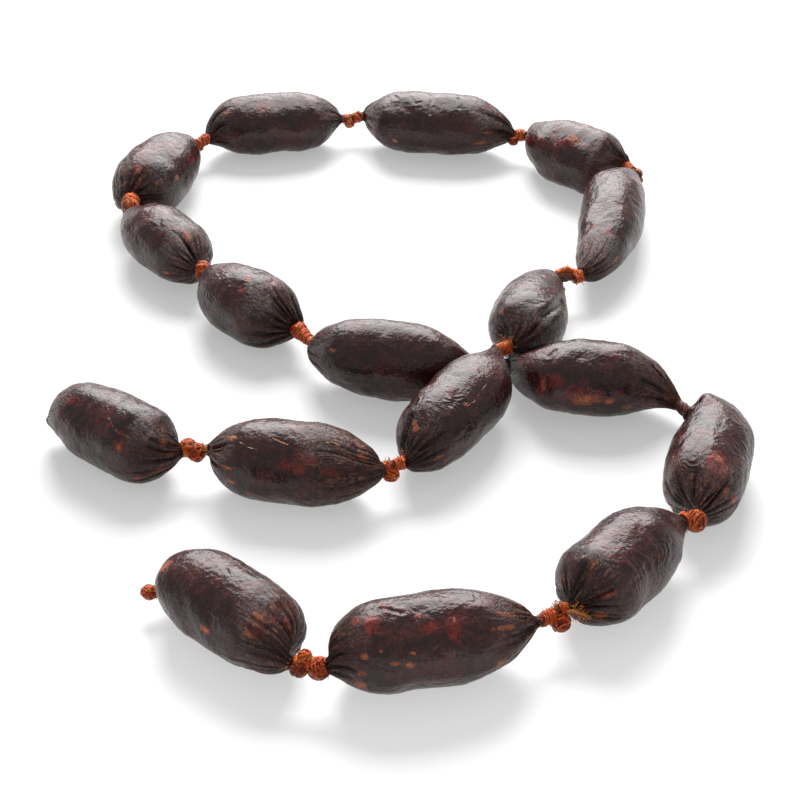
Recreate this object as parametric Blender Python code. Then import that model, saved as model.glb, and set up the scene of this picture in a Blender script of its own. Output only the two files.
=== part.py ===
"""A string of seventeen dark, dry-cured sausage links, lying in a loop that crosses itself.

One length of filled casing is tied off with twine at uneven steps, so each link is a plump
round body whose casing gathers in pleats towards the two knots that close it. The string
starts at a free end on the left, runs right, climbs over its own later stretch, goes once
round the back, passes under that crossing and comes forward to its second free end.

Each link and each tie is a solid of its own. The tables are in millimetres and degrees on
the table top, with X to the right, Y to the back and Z up. The finished string is centred
on X and Y, with the table top at Z = 0.
"""

import math
from dataclasses import dataclass

import bmesh
import bpy
from mathutils import Matrix, Vector, noise

MM = 0.001

# Driving dimensions of every link, in millimetres.
NECK_RADIUS = 3.2       # casing gathered tight where the twine holds it
FLATTENED = 1.2         # how far a link's own weight presses its underside flat
TAPER = 0.05            # how much narrower a body is at its ends than at its middle
LUMPS = 0.9             # uneven filling, above and below the round body
LUMP_SIZE = 26.0        # distance from one lump to the next
PLEAT_DEPTH = 0.9       # gathers between a neck and the full width
PLEAT_UNEVEN = 0.4      # share of that depth that comes and goes
PLEAT_VARIETY = 5.0     # how much more quickly the pleats vary than the lumps do
LINK_VARIETY = 7.3      # step through the noise from one link to the next
SHOULDER_POWER = 1.7    # 1 gives an elliptic shoulder, more gives a slimmer one
NECK_PULL = 2.2         # how soon a shoulder leans over towards a neck that is off centre
LONGEST_ENDS = 0.98     # share of a body that its two shoulders may take up

# Driving dimensions of every tie, in millimetres.
TWINE_RADIUS = 3.4      # twine wound over the neck
KNOT_ROUNDNESS = 1.5    # how suddenly the knot swells out of the winding
KNOT_SHIFT = 0.8        # how far the knot stands off to its side, as a share of its swelling
GAP = 0.3               # clear space between a link's neck and its tie

# Faces of the solids.
LINK_SIDES = 20
SHOULDER_STEPS = 4
TIE_SIDES = 8
TIE_STEPS = 6


@dataclass(frozen=True)
class Tie:
    """Twine round the casing between two links, with the knot that holds it.

    x, y and z are its middle, heading its direction along the string, length the neck that
    it covers, knot the radius of its knot, and lean the side that the knot sits on: 0 is
    left of the string, 90 on top. Where bare, the casing is only twisted, with no twine.
    """

    x: float
    y: float
    z: float
    heading: float
    length: float
    knot: float
    lean: float
    bare: bool = False


@dataclass(frozen=True)
class Link:
    """One sausage between two ties.

    width is its diameter and bow how far its body lies to the left of the straight line
    between its necks. skew turns the body against that line. rear and front are the
    lengths of its two shoulders. rear_neck and front_neck are lengths of bare twisted
    casing between a tie and the shoulder. rear_lift and front_lift raise the ends of the
    body where the string climbs over itself. bulges holds (place along the body from 0 to
    1, side as in Tie.lean, height, reach) for each spot that stands out or sinks in.
    """

    width: float
    skew: float
    bow: float
    rear: float
    front: float
    rear_neck: float = 0.0
    front_neck: float = 0.0
    rear_lift: float = 0.0
    front_lift: float = 0.0
    bulges: tuple = ()


# The string's route. Tie 0 and the last tie close its two free ends.
TIES = (
    Tie(-164.7, -3.8, 11, -30, 3, 3.5, 90),
    Tie(-93, -36, 17, 5, 11, 5.0, 60),
    Tie(-3, -47, 17, 25, 12, 5.0, 240),
    Tie(50, 34, 25, 30, 8, 4.4, 90),
    Tie(89, 113, 17, 24, 13, 4.6, 60),
    Tie(133, 225, 19, 108, 15, 4.6, 200),
    Tie(73, 277, 15, 169, 8, 4.6, 300),
    Tie(-29, 300, 15, 193, 13, 4.6, 30),
    Tie(-119, 268, 15, 226, 11, 4.6, 340),
    Tie(-150, 181, 20, 288, 13, 4.8, 200),
    Tie(-103, 116, 19, 328, 7, 4.6, 60),
    Tie(-47, 59, 15, 302, 16, 4.8, 90),
    Tie(50, 42, 9, 0, 3, 3.6, 270),
    Tie(135, 6, 9, 299, 7, 4.0, 60, bare=True),
    Tie(123, -87, 20, 226, 9, 6.2, 330),
    Tie(62, -143, 17, 213, 16, 5.6, 320),
    Tie(-35, -172, 18, 174, 14, 5.8, 320),
    Tie(-103, -123, 10, 200, 7, 4.2, 300),
)

LINKS = (
    Link(36.5, -10, -1, 23, 17),
    Link(37.5, 3, -3, 28, 27),
    Link(36, -5, -2, 30, 36, front_lift=3),
    Link(38, 7, 2, 21, 52, rear_lift=7, bulges=((0.08, 240, -9, 9),)),
    Link(36, 10, 0, 62, 28),
    Link(38.5, 0, 8, 12, 36),
    Link(38, 7, 4, 35, 28),
    Link(36.5, -10, -3, 27, 30),
    Link(39.5, 1, 0, 46, 21),
    Link(36.5, 5, 1, 29, 24),
    Link(37.5, 3, -5, 32, 20),
    Link(39, -3, -13, 29, 36, front_neck=11),
    Link(37.5, 18, -7, 36, 37, rear_neck=1, bulges=((0.10, 25, -9, 9),)),
    Link(37, -10, 8, 41, 24, bulges=((0.08, 125, 5, 9),)),
    Link(38, 7, -2, 30, 13),
    Link(38, -7, -1, 37, 21),
    Link(36, 0, -7, 24, 20),
)

CASING_COLOUR = (0.030, 0.020, 0.019, 1.0)
TWINE_COLOUR = (0.420, 0.090, 0.030, 1.0)


def heading_vector(degrees):
    """A level unit vector in the direction of a heading."""
    angle = math.radians(degrees)
    return Vector((math.cos(angle), math.sin(angle), 0.0))


def tie_end(tie, side):
    """The middle of a tie's face: side is -1 at its rear and 1 at its front."""
    return Vector((tie.x, tie.y, tie.z)) + heading_vector(tie.heading) * (side * tie.length / 2)


def rolled_tube(name, sides, steps, surface):
    """A closed mesh: a flat sheet rolled into a tube, seamed, and closed at its ends.

    surface takes the side number and the step number, and gives the point there in
    millimetres.
    """
    bm = bmesh.new()
    bmesh.ops.create_grid(bm, x_segments=sides, y_segments=steps, size=1.0)
    for vert in bm.verts:
        side = round((vert.co.x + 1.0) / 2.0 * sides)
        step = round((vert.co.y + 1.0) / 2.0 * steps)
        vert.co = surface(side % sides, step) * MM
    bmesh.ops.remove_doubles(bm, verts=bm.verts, dist=0.001 * MM)
    bmesh.ops.holes_fill(bm, edges=bm.edges, sides=0)
    bmesh.ops.recalc_face_normals(bm, faces=bm.faces)
    mesh = bpy.data.meshes.new(name)
    bm.to_mesh(mesh)
    bm.free()
    mesh.shade_smooth()
    return mesh


def ring_stations(length, rear, front):
    """(distance along the body, share of full width, share of pleating) of each ring."""
    room = min(1.0, LONGEST_ENDS * length / (rear + front))
    rear, front = rear * room, front * room
    quarter = [math.pi / 2 * step / SHOULDER_STEPS for step in range(SHOULDER_STEPS + 1)]
    shoulder = [
        (1 - math.cos(angle), math.sin(angle) ** SHOULDER_POWER, math.sin(2 * angle))
        for angle in quarter
    ]
    rings = [(rear * run, fullness, pleating) for run, fullness, pleating in shoulder]
    rings.append(((rear + length - front) / 2, 1.0, 0.0))
    for run, fullness, pleating in reversed(shoulder):
        rings.append((length - front * run, fullness, pleating))
    return rings


class Casing:
    """The outer surface of one link, from one tie's front face to the next tie's rear face."""

    def __init__(self, number, link, rear_tie, front_tie):
        self.noise_offset = Vector((number * LINK_VARIETY, 0, 0))
        self.link = link
        self.radius = link.width / 2
        self.rear_way = heading_vector(rear_tie.heading)
        self.front_way = heading_vector(front_tie.heading)
        self.rear_neck = tie_end(rear_tie, 1) + self.rear_way * GAP
        self.front_neck = tie_end(front_tie, -1) - self.front_way * GAP
        self.rear_root = self.rear_neck + self.rear_way * link.rear_neck
        self.front_root = self.front_neck - self.front_way * link.front_neck

        chord = self.front_root - self.rear_root
        chord_heading = math.degrees(math.atan2(chord.y, chord.x))
        self.along = heading_vector(chord_heading + link.skew)
        self.length = chord.dot(self.along)
        middle = (self.rear_root + self.front_root) / 2
        middle += heading_vector(chord_heading + 90) * link.bow
        middle.z = self.radius - FLATTENED
        self.rear_end = middle - self.along * self.length / 2 + Vector((0, 0, link.rear_lift))
        self.front_end = middle + self.along * self.length / 2 + Vector((0, 0, link.front_lift))

        stations = ring_stations(self.length, link.rear, link.front)
        self.rings = [self.body_ring(*station) for station in stations]
        if link.rear_neck:
            self.rings.insert(0, (self.rear_neck, self.rear_way, NECK_RADIUS, 0.0, 0.0, 0.0))
        if link.front_neck:
            self.rings.append((self.front_neck, self.front_way, NECK_RADIUS, 0.0, 0.0, 1.0))

    def body_ring(self, place, fullness, pleating):
        """(centre, facing, radius, fullness, pleating, share of the way) of one ring."""
        share = place / self.length
        body = self.radius * (1 - TAPER * (2 * share - 1) ** 2)
        ring_radius = NECK_RADIUS + (body - NECK_RADIUS) * fullness
        slack = max(0.0, 1 - (ring_radius - NECK_RADIUS) / (self.radius - NECK_RADIUS))
        pull = slack**NECK_PULL
        centre = self.rear_end.lerp(self.front_end, share)
        if share < 0.5:
            centre += (self.rear_root - self.rear_end) * pull
            facing = self.along.lerp(self.rear_way, pull).normalized()
        else:
            centre += (self.front_root - self.front_end) * pull
            facing = self.along.lerp(self.front_way, pull).normalized()
        return centre, facing, ring_radius, fullness, pleating, share

    def bulge(self, share, angle):
        """How far the casing stands out there, over all of the link's bulges."""
        total = 0.0
        for at, side, height, reach in self.link.bulges:
            turn = (math.degrees(angle) - side + 180) % 360 - 180
            across = math.radians(turn) * self.radius
            distance = math.hypot((share - at) * self.length, across)
            total += height * math.exp(-((distance / reach) ** 2))
        return total

    def point(self, side, step):
        """The point of the casing at one side of one ring."""
        centre, facing, ring_radius, fullness, pleating, share = self.rings[step]
        left = Vector((-facing.y, facing.x, 0.0))
        angle = 2 * math.pi * (side + 0.5) / LINK_SIDES
        outward = left * math.cos(angle) + Vector((0, 0, math.sin(angle)))
        spot = (centre + outward * self.radius) / LUMP_SIZE + self.noise_offset
        lump = LUMPS * noise.noise(spot) + self.bulge(share, angle)
        evenness = 1 - PLEAT_UNEVEN + PLEAT_UNEVEN * noise.noise(spot * PLEAT_VARIETY)
        fold = PLEAT_DEPTH * (-1) ** side * evenness
        point = centre + outward * (ring_radius + lump * fullness + fold * pleating)
        point.z = max(point.z, 0.0)
        return point


def tie_mesh(name, tie):
    """The solid of one tie: twine wound round the neck, swelling into its knot."""
    along = heading_vector(tie.heading)
    left = Vector((-along.y, along.x, 0.0))
    lean = math.radians(tie.lean)
    knot_side = left * math.cos(lean) + Vector((0, 0, math.sin(lean)))

    def surface(side, step):
        """The point of the twine at one side of one ring."""
        share = step / TIE_STEPS
        swell = max(0.0, math.sin(math.pi * share)) ** KNOT_ROUNDNESS
        ring_radius = TWINE_RADIUS + (tie.knot - TWINE_RADIUS) * swell
        shift = knot_side * (tie.knot - TWINE_RADIUS) * KNOT_SHIFT * swell
        angle = 2 * math.pi * (side + step / 2) / TIE_SIDES
        outward = left * math.cos(angle) + Vector((0, 0, math.sin(angle)))
        return tie_end(tie, -1) + along * share * tie.length + shift + outward * ring_radius

    return rolled_tube(name, TIE_SIDES, TIE_STEPS, surface)


def finish_material(name, colour, roughness):
    """A Principled material of one colour, for a part that isn't metal."""
    material = bpy.data.materials.new(name)
    material.use_nodes = True
    shader = material.node_tree.nodes["Principled BSDF"]
    shader.inputs["Base Color"].default_value = colour
    shader.inputs["Roughness"].default_value = roughness
    shader.inputs["Metallic"].default_value = 0.0
    return material


def place(mesh, origin, heading, material, parent):
    """An object of this mesh, whose own origin and X axis are put where the piece lies."""
    frame = Matrix.Translation(origin * MM) @ Matrix.Rotation(math.radians(heading), 4, "Z")
    mesh.transform(frame.inverted())
    mesh.materials.append(material)
    piece = bpy.data.objects.new(mesh.name, mesh)
    piece.location = origin * MM
    piece.rotation_euler.z = math.radians(heading)
    piece.parent = parent
    bpy.context.scene.collection.objects.link(piece)
    return piece


def centre_on_table(string, pieces):
    """Moves the whole string so that the middle of its box stands over the origin."""
    bpy.context.view_layer.update()
    corners = [piece.matrix_world @ vert.co for piece in pieces for vert in piece.data.vertices]
    low = [min(corner[axis] for corner in corners) for axis in range(3)]
    high = [max(corner[axis] for corner in corners) for axis in range(3)]
    string.location = (-(low[0] + high[0]) / 2, -(low[1] + high[1]) / 2, -low[2])


def main():
    """Clears the scene and builds the string."""
    for leftover in list(bpy.data.objects):
        bpy.data.objects.remove(leftover, do_unlink=True)

    casing = finish_material("casing", CASING_COLOUR, 0.42)
    twine = finish_material("twine", TWINE_COLOUR, 0.75)
    string = bpy.data.objects.new("string", None)
    bpy.context.scene.collection.objects.link(string)

    pieces = []
    for number, tie in enumerate(TIES):
        mesh = tie_mesh(f"tie_{number:02d}", tie)
        material = casing if tie.bare else twine
        pieces.append(place(mesh, Vector((tie.x, tie.y, tie.z)), tie.heading, material, string))
    for number, (link, rear, front) in enumerate(zip(LINKS, TIES, TIES[1:]), start=1):
        shape = Casing(number, link, rear, front)
        mesh = rolled_tube(f"link_{number:02d}", LINK_SIDES, len(shape.rings) - 1, shape.point)
        middle = (shape.rear_end + shape.front_end) / 2
        heading = math.degrees(math.atan2(shape.along.y, shape.along.x))
        pieces.append(place(mesh, Vector((middle.x, middle.y, 0)), heading, casing, string))
    centre_on_table(string, pieces)


main()
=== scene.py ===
"""Looks of a string of dark, dry-cured sausage links, tied off with stained twine.

Every link's casing is drawn again on the rings of its solid, with the gathers, wrinkles,
red patches and fat spots of the real thing. Every tie is wound from twisted twine over the
bare neck of casing that joins two links. Sizes inside the classes are in millimetres.
"""

import logging
import math
from dataclasses import dataclass, field
from enum import Enum
from typing import Any, Callable, Sequence

import bmesh
import bpy
import numpy as np
from mathutils import Matrix, Vector


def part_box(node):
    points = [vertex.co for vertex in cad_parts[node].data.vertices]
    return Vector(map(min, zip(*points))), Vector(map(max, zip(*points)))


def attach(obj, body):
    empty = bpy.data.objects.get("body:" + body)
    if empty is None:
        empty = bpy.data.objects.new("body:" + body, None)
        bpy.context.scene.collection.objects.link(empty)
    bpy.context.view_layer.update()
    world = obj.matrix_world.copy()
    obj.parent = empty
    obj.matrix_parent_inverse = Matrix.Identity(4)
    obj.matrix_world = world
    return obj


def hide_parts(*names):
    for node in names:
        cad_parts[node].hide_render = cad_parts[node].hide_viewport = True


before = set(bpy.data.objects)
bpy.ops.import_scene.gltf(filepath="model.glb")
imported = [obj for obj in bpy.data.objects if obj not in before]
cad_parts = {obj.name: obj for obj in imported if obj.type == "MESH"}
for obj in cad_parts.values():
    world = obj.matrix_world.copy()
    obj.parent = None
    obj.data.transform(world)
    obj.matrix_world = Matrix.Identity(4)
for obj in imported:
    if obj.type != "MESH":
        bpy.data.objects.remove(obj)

log = logging.getLogger("string")

MM = 0.001
WHOLE_TURN = 2 * math.pi
Array = np.ndarray
Colour = tuple[float, float, float]


# ------------------------------------------------------------------ shapes

def smooth(value: Array | float, low: float, high: float) -> Array:
    """A soft step from 0 at low to 1 at high, where low may be the greater.

    Args:
        value: what is stepped.
        low: where the step starts.
        high: where it is complete.

    Returns:
        Values from 0 to 1.
    """
    share = np.clip((np.asarray(value) - low) / (high - low), 0.0, 1.0)
    return share * share * (3 - 2 * share)


class Ripples:
    """Smooth, seeded unevenness: waves that run every way, added up."""

    def __init__(self, seed: int, waves: int = 26) -> None:
        """Draws the waves.

        Args:
            seed: picks the pattern.
            waves: how many waves are added up.
        """
        draw = np.random.default_rng(seed)
        ways = draw.normal(size=(waves, 3))
        ways /= np.linalg.norm(ways, axis=1)[:, None]
        self.ways = ways * draw.uniform(0.55, 1.45, waves)[:, None]
        self.phases = draw.uniform(0, WHOLE_TURN, waves)

    def at(self, points: Array, size: float) -> Array:
        """The unevenness at points.

        Args:
            points: an array whose last axis is X, Y and Z.
            size: the distance from one swell to the next, in the points' unit.

        Returns:
            Values about 0, nearly all between -1 and 1.
        """
        turns = points @ self.ways.T * (WHOLE_TURN / size) + self.phases
        return np.cos(turns).sum(-1) * (0.9 / math.sqrt(len(self.phases)))


def tube_mesh(name: str, grid: Array, fields: dict[str, Array]) -> bpy.types.Mesh:
    """Rolls a flat sheet into a tube, seams it and closes its ends.

    Args:
        name: the mesh's name.
        grid: the tube's points in millimetres, by step along it and side round it.
        fields: what is stored at each point, as numbers or as triples.

    Returns:
        The closed mesh, in metres.
    """
    steps, sides = grid.shape[0] - 1, grid.shape[1]
    bm = bmesh.new()
    bmesh.ops.create_grid(bm, x_segments=sides, y_segments=steps, size=1.0)
    mesh = bpy.data.meshes.new(name)
    bm.to_mesh(mesh)
    flat = np.empty(len(mesh.vertices) * 3, np.float32)
    mesh.vertices.foreach_get("co", flat)
    flat = flat.reshape(-1, 3)
    side = np.rint((flat[:, 0] + 1) / 2 * sides).astype(int) % sides
    step = np.rint((flat[:, 1] + 1) / 2 * steps).astype(int)
    mesh.vertices.foreach_set("co", (grid[step, side] * MM).astype(np.float32).ravel())
    for label, values in fields.items():
        kind = "FLOAT_VECTOR" if values.ndim == 3 else "FLOAT"
        layer = mesh.attributes.new(label, kind, "POINT")
        slot = "vector" if values.ndim == 3 else "value"
        layer.data.foreach_set(slot, values[step, side].astype(np.float32).ravel())
    bm.clear()
    bm.from_mesh(mesh)
    bmesh.ops.remove_doubles(bm, verts=bm.verts, dist=1e-7)
    rims = [edge for edge in bm.edges if edge.is_boundary]
    bmesh.ops.holes_fill(bm, edges=rims, sides=0)
    bmesh.ops.recalc_face_normals(bm, faces=bm.faces)
    bm.to_mesh(mesh)
    bm.free()
    mesh.shade_smooth()
    return mesh


def joined(name: str, meshes: Sequence[bpy.types.Mesh]) -> bpy.types.Mesh:
    """Puts several meshes into one.

    Args:
        name: the new mesh's name.
        meshes: what goes into it. They are removed afterwards.

    Returns:
        The new mesh.
    """
    bm = bmesh.new()
    for mesh in meshes:
        bm.from_mesh(mesh)
    whole = bpy.data.meshes.new(name)
    bm.to_mesh(whole)
    bm.free()
    for mesh in meshes:
        bpy.data.meshes.remove(mesh)
    whole.shade_smooth()
    return whole


def swept(path: Array, radius: Array | float, sides: int, plies: int = 0,
          lay_length: float = 5.0, groove: float = 0.16) -> tuple[Array, Array]:
    """Sweeps a round or twisted section along a path.

    Args:
        path: the points of the middle line, in millimetres.
        radius: the section's radius, or one for each point.
        sides: how many sides the section has.
        plies: how many yarns are twisted together, or 0 for a plain round.
        lay_length: how far one yarn goes for each turn about the middle line.
        groove: depth of the grooves between yarns, as a share of the radius.

    Returns:
        The grid of points, and for each point its place in the fibres' own frame.
    """
    count = len(path)
    tangents = np.gradient(path, axis=0)
    tangents /= np.linalg.norm(tangents, axis=1)[:, None] + 1e-12
    across = np.cross(tangents[0], (0.31, 0.52, 0.79))
    frames = np.empty((count, 3))
    for index in range(count):
        across = across - tangents[index] * (across @ tangents[index])
        across = across / np.linalg.norm(across)
        frames[index] = across
    second = np.cross(tangents, frames)
    lengths = np.linalg.norm(np.diff(path, axis=0), axis=1)
    run = np.concatenate([[0.0], np.cumsum(lengths)])
    angle = np.arange(sides) / sides * WHOLE_TURN
    fibre = angle[None, :] - run[:, None] / lay_length * WHOLE_TURN
    size = np.broadcast_to(np.asarray(radius, float), (count,))[:, None]
    if plies:
        size = size * (1 - groove * (1 - np.abs(np.sin(fibre * plies / 2))) ** 2)
    grid = (path[:, None, :] + frames[:, None, :] * (np.cos(angle)[None, :] * size)[..., None]
            + second[:, None, :] * (np.sin(angle)[None, :] * size)[..., None])
    wide = np.broadcast_to(run[:, None], fibre.shape)
    lay = np.stack([np.cos(fibre), np.sin(fibre), wide / 12.0], -1)
    return grid, lay


class SolidRings:
    """The rings of points of a solid that is one tube with flat ends."""

    def __init__(self, node: str, sides: int, start: Vector) -> None:
        """Reads the rings out of a node's mesh.

        Args:
            node: the node's name.
            sides: how many points each ring has.
            start: a point in metres. The rings run away from the end nearer to it.
        """
        bm = bmesh.new()
        bm.from_mesh(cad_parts[node].data)
        bmesh.ops.remove_doubles(bm, verts=bm.verts, dist=1e-6)
        flat = bm.copy()
        bmesh.ops.dissolve_limit(flat, angle_limit=0.002, verts=flat.verts, edges=flat.edges)
        caps = [[vert.co.copy() for vert in face.verts] for face in flat.faces
                if len(face.verts) == sides]
        first = min(caps, key=lambda cap: (sum(cap, Vector()) / sides - start).length)
        flat.free()
        ring = {min(bm.verts, key=lambda vert: (vert.co - corner).length) for corner in first}
        seen = set(ring)
        rings = []
        while ring:
            rings.append(np.array([vert.co for vert in ring], float) / MM)
            near = {edge.other_vert(vert) for vert in ring for edge in vert.link_edges}
            ring = near - seen
            seen |= ring
        bm.free()
        self.centres = np.array([points.mean(axis=0) for points in rings])
        self.rings = np.array([self.in_order(index, points)
                               for index, points in enumerate(rings)])

    def in_order(self, index: int, points: Array) -> Array:
        """Sorts a ring's points round the tube, from its left over its top.

        Args:
            index: the ring's number.
            points: its points.

        Returns:
            The same points in order.
        """
        offset = points - self.centres[index]
        left = np.linalg.svd(offset[:, :2], full_matrices=False)[2][0]
        before, after = max(index - 1, 0), min(index + 1, len(self.centres) - 1)
        ahead = self.centres[after] - self.centres[before]
        if left[1] * ahead[0] - left[0] * ahead[1] < 0:
            left = -left
        angle = np.arctan2(offset[:, 2], offset[:, :2] @ left) % WHOLE_TURN
        return points[np.argsort(angle)]


# --------------------------------------------------------------- materials

class Wire:
    """A node's output, on which sums are written as they are on numbers."""

    def __init__(self, paint: "Paint", socket: bpy.types.NodeSocket) -> None:
        """Wraps a socket.

        Args:
            paint: the material that it belongs to.
            socket: the output.
        """
        self.paint = paint
        self.socket = socket

    def math(self, operation: str, *others: Any) -> "Wire":
        """A Math node of this wire and others.

        Args:
            operation: the node's operation.
            others: further wires or numbers.

        Returns:
            The node's output.
        """
        sockets = dict(enumerate((self, *others)))
        return self.paint.node("ShaderNodeMath", {"operation": operation}, sockets)

    def __add__(self, other: Any) -> "Wire":
        """This plus other."""
        return self.math("ADD", other)

    __radd__ = __add__

    def __sub__(self, other: Any) -> "Wire":
        """This less other."""
        return self.math("SUBTRACT", other)

    def __rsub__(self, other: float) -> "Wire":
        """Other less this."""
        return self * -1.0 + other

    def __mul__(self, other: Any) -> "Wire":
        """This times other."""
        return self.math("MULTIPLY", other)

    __rmul__ = __mul__

    def __truediv__(self, other: Any) -> "Wire":
        """This over other."""
        return self.math("DIVIDE", other)

    def __pow__(self, other: float) -> "Wire":
        """This to the power of other."""
        return self.math("POWER", other)

    def clamped(self) -> "Wire":
        """This kept between 0 and 1."""
        return self.math("MINIMUM", 1.0).math("MAXIMUM", 0.0)

    def step(self, low: float, high: float) -> "Wire":
        """A soft step from 0 at low to 1 at high."""
        settings = {"interpolation_type": "SMOOTHSTEP"}
        if low > high:
            return 1.0 - self.step(high, low)
        return self.paint.node("ShaderNodeMapRange", settings,
                               {"Value": self, "From Min": low, "From Max": high})


class Paint:
    """A material being put together from nodes."""

    def __init__(self, name: str) -> None:
        """Starts a material with an empty Principled shader.

        Args:
            name: the material's name.
        """
        self.material = bpy.data.materials.new(name)
        self.material.use_nodes = True
        self.tree = self.material.node_tree
        self.shader = self.tree.nodes["Principled BSDF"]

    def node(self, kind: str, settings: dict[str, Any] | None = None,
             sockets: dict[Any, Any] | None = None, output: int | str = 0) -> Wire:
        """Adds a node of any kind.

        Args:
            kind: the node's type.
            settings: its properties, which are set first. "stops" are a ramp's stops.
            sockets: values or wires for its inputs, by name or number.
            output: which output is returned.

        Returns:
            The output.
        """
        node = self.tree.nodes.new(kind)
        for key, value in (settings or {}).items():
            if key == "stops":
                ramp = node.color_ramp
                while len(ramp.elements) < len(value):
                    ramp.elements.new(0.5)
                for element, (place, colour) in zip(ramp.elements, value):
                    element.position = place
                    element.color = (*colour, 1.0)
            else:
                setattr(node, key, value)
        for key, value in (sockets or {}).items():
            self.join(value, node.inputs[key])
        return Wire(self, node.outputs[output])

    def join(self, value: Any, socket: bpy.types.NodeSocket) -> None:
        """Links a wire to a socket, or sets the socket's value."""
        if isinstance(value, Wire):
            self.tree.links.new(value.socket, socket)
        elif isinstance(value, tuple) and len(value) == 3 and socket.type == "RGBA":
            socket.default_value = (*value, 1.0)
        else:
            socket.default_value = value

    def field(self, label: str, vector: bool = False) -> Wire:
        """What the piece's mesh stores under this label."""
        return self.node("ShaderNodeAttribute", {"attribute_name": label}, {},
                         "Vector" if vector else "Fac")

    def place(self) -> Wire:
        """The point's own place on the piece."""
        return self.node("ShaderNodeTexCoord", {}, {}, "Object")

    def stretched(self, vector: Wire, scale: tuple[float, float, float]) -> Wire:
        """A vector scaled along each axis."""
        return self.node("ShaderNodeVectorMath", {"operation": "MULTIPLY"},
                         {0: vector, 1: scale})

    def noise(self, vector: Wire, scale: float, detail: float = 3.0, rough: float = 0.55,
              warp: float = 0.0, ridged: bool = False) -> Wire:
        """Noise from 0 to 1, or ridged noise from 0 up."""
        settings = {"noise_type": "RIDGED_MULTIFRACTAL"} if ridged else {}
        return self.node("ShaderNodeTexNoise", settings,
                         {"Vector": vector, "Scale": scale, "Detail": detail,
                          "Roughness": rough, "Distortion": warp})

    def mix(self, share: Any, first: Any, second: Any) -> Wire:
        """A colour between first and second."""
        settings = {"data_type": "RGBA", "clamp_factor": True}
        return self.node("ShaderNodeMix", settings, {0: share, 6: first, 7: second}, 2)

    def bump(self, height: Wire, depth: float, under: Wire | None = None) -> Wire:
        """A normal tilted by height, whose full range is depth in metres."""
        sockets: dict[str, Any] = {"Height": height, "Distance": depth}
        if under is not None:
            sockets["Normal"] = under
        return self.node("ShaderNodeBump", {}, sockets)

    def finish(self, **sockets: Any) -> bpy.types.Material:
        """Sets the shader's sockets, whose names are given with _ for a space."""
        for key, value in sockets.items():
            self.join(value, self.shader.inputs[key.replace("_", " ")])
        return self.material


@dataclass(frozen=True)
class CasingFinish:
    """Dried casing: near black, satin, with red meat and orange fat showing through."""

    dark: Colour = (0.018, 0.0053, 0.0056)
    brown: Colour = (0.060, 0.0140, 0.0112)
    ruddy: Colour = (0.130, 0.017, 0.010)
    meat: Colour = (0.135, 0.011, 0.006)
    fat: Colour = (0.34, 0.086, 0.019)
    gold: Colour = (0.60, 0.240, 0.075)
    rust: Colour = (0.20, 0.045, 0.015)
    roughness: float = 0.26
    specular: float = 0.37

    def build(self) -> bpy.types.Material:
        """Makes the material."""
        paint = Paint("casing")
        place = paint.place()
        lay = paint.field("lay", vector=True)
        streak = paint.field("streak")
        broad = paint.noise(place, 70, 3, 0.6)
        middling = paint.noise(place, 260, 4, 0.6, 0.6)
        fine = paint.noise(place, 800, 4, 0.7)

        ground = broad * 0.8 + middling * 0.9 + fine * 0.8
        colour = paint.mix(ground.step(1.11, 1.58), self.dark, self.brown)
        # Reddish specks: partly the casing's own mottling, partly painted glints that sparkle in the
        # highlight.
        specks_and_painted_glints = fine.step(0.55, 0.70) * (middling * 0.6 + broad * 0.8).step(0.62, 0.85)
        colour = paint.mix(specks_and_painted_glints * 0.75, colour, self.ruddy)
        red = paint.field("meat") * 0.8 + (middling - 0.5) * 1.6 + (fine - 0.5) * 1.5
        red = red.step(0.42, 0.98)
        colour = paint.mix(red, colour, self.meat)

        threads = paint.noise(paint.stretched(lay, (1.0, 1.0, 0.10)), 17, 3, 0.6, 0.35)
        threads = (0.5 - (threads - 0.5).math("ABSOLUTE") * 12.0).step(0.10, 0.5)
        hairs = paint.noise(paint.stretched(lay, (1.0, 1.0, 0.07)), 36, 2, 0.6, 0.2)
        hairs = (0.5 - (hairs - 0.5).math("ABSOLUTE") * 10.0).step(0.10, 0.5)
        broken = paint.noise(place, 190, 2, 0.5)
        lines = (threads + hairs * 0.7) * broken.step(0.36, 0.60) * streak
        colour = paint.mix((lines * 0.7).clamped(), colour, self.rust)
        bright = threads * paint.noise(place, 330, 2, 0.5).step(0.50, 0.64) * streak
        colour = paint.mix((bright * 0.9).clamped(), colour, self.gold)
        # Painted shade: pleat valleys and creases are darkened toward the dark casing colour.
        colour = paint.mix((paint.field("fold") * 0.85).clamped(), colour, self.dark)

        spot = paint.field("fat") * 0.95 + (middling - 0.5) * 1.3 + (fine - 0.5) * 1.4
        colour = paint.mix(spot.step(0.38, 0.62), colour, self.rust)
        colour = paint.mix(spot.step(0.62, 1.05), colour, self.fat)
        vein = (paint.field("vein") + (fine - 0.5) * 0.9).step(0.60, 0.20)
        vein = vein * paint.noise(place, 210, 2, 0.5).step(0.40, 0.52)
        colour = paint.mix(vein * 0.85, colour, self.gold)

        net = paint.noise(place, 300, 2, 0.5, 0.7, ridged=True)
        across = paint.noise(paint.stretched(lay, (0.45, 0.45, 1.0)), 9, 2, 0.5, 0.6)
        normal = paint.bump(net * 0.3 + across * 1.2, 0.00020)
        normal = paint.bump(paint.noise(place, 700, 1.5, 0.5, 0.5), 0.00025, normal)
        cords = (threads + hairs * 0.5) * paint.field("gather")
        normal = paint.bump(cords + vein * 0.6 + spot.step(0.5, 0.9) * 0.4, 0.00050, normal)

        roughness = (self.roughness + (middling - 0.5) * 0.22 + (fine - 0.5) * 0.22
                     + red * 0.04)
        return paint.finish(Base_Color=colour, Roughness=roughness, Normal=normal,
                            Specular_IOR_Level=self.specular)


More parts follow.
